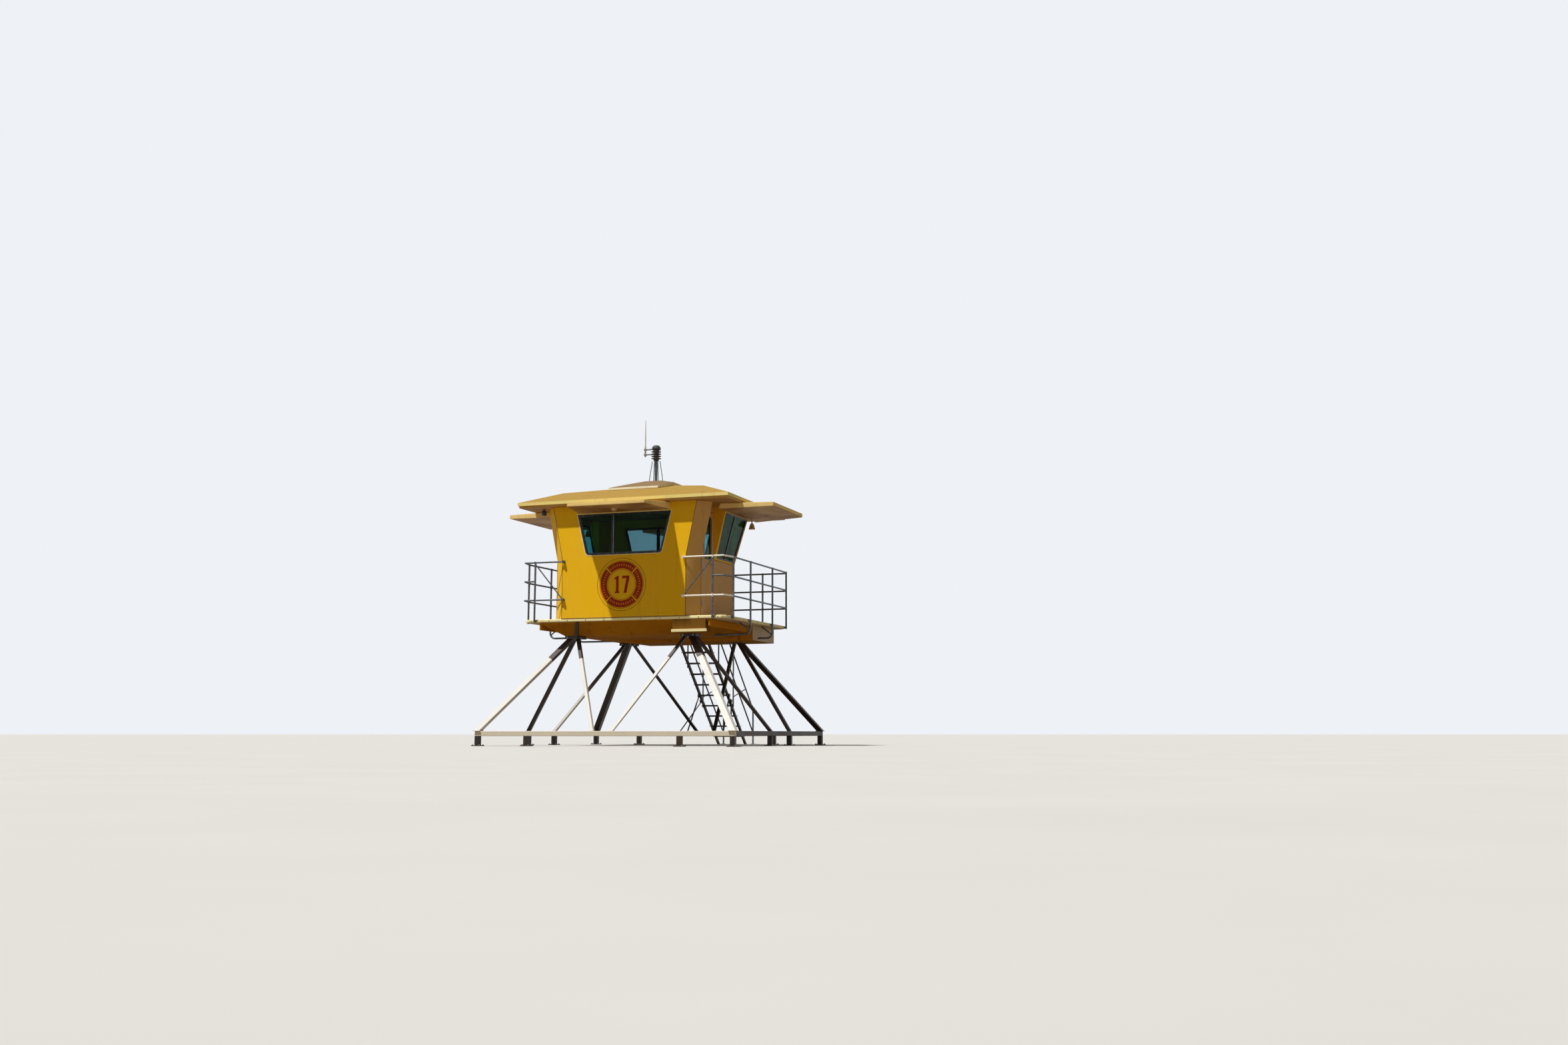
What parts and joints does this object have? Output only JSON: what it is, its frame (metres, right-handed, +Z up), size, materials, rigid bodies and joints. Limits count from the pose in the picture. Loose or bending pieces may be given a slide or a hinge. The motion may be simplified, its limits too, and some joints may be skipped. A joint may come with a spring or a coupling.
{
  "type": "lifeguard tower",
  "caption": "Lifeguard tower: a yellow fibreglass cabin with leaning windows on a railed deck, on a splayed frame of square steel tube, with a stair on the seaward side.",
  "frame": {"origin": "on the ground, under the middle of the tower's whole outline, stair included", "axes": "+Z up, +Y towards the sea, where the stair comes down, +X towards the cabin's door side"},
  "size_m": [5.486, 6.945, 6.3621],
  "materials": {
    "shell_yellow": "weathered gelcoat",
    "shell_shaded": "dull, stained gelcoat",
    "lip_pale": "faded gelcoat",
    "deck_grit": "non-slip grit",
    "steel_white": "worn paint",
    "steel_black": "worn paint",
    "galvanised": "galvanised",
    "tinted_glass": "tinted",
    "window_frame": "black anodised",
    "dark_plastic": "plain"
  },
  "bodies": {
    "tower": {"base_beam_front": "steel_white", "base_beam_back": "steel_black", "base_beam_left": "steel_black", "base_beam_right": "steel_black", "feet": "steel_black", "front_legs": "steel_white", "back_legs": "steel_black", "left_legs": "steel_black", "right_legs": "steel_black", "leg_heads": "steel_black", "deck_hull": "shell_shaded", "keel_box": "shell_shaded", "front_ledge": "shell_yellow", "deck_lip": "lip_pale", "deck_floor": "deck_grit", "stair_stringers": "steel_black", "stair_treads": "steel_black", "stair_handrail_left": "galvanised", "stair_handrail_right": "galvanised", "railing_left": "galvanised", "railing_right": "galvanised", "railing_back_left": "galvanised", "railing_back_right": "galvanised", "railing_front_left": "galvanised", "railing_front_right": "galvanised", "outriggers": "galvanised", "front_wall": "shell_yellow", "back_wall": "shell_yellow", "left_wall": "shell_yellow", "right_wall": "shell_yellow", "left_bay": "shell_yellow", "right_bay": "shell_yellow", "corner_panels": "shell_yellow", "door_frame": "shell_yellow", "window_frames": "window_frame", "window_glass": "tinted_glass", "roof_soffit": "shell_shaded", "roof": "shell_yellow", "visor_front": "shell_yellow", "visor_back": "shell_yellow", "visor_left": "shell_yellow", "visor_right": "shell_yellow", "roof_cap": "shell_yellow", "mast": "galvanised", "mast_head": "dark_plastic", "eave_lamps": "dark_plastic"},
    "door": {"door": "shell_yellow", "door_glass": "tinted_glass", "door_handle": "galvanised"}
  },
  "joints": [
    {"name": "door_hinge", "type": "hinge", "parent": "tower", "child": "door", "pos_m": [1.474, -2.329, 3.34], "axis": [0, 0, -1], "range_deg": [0, 90]}
  ]
}
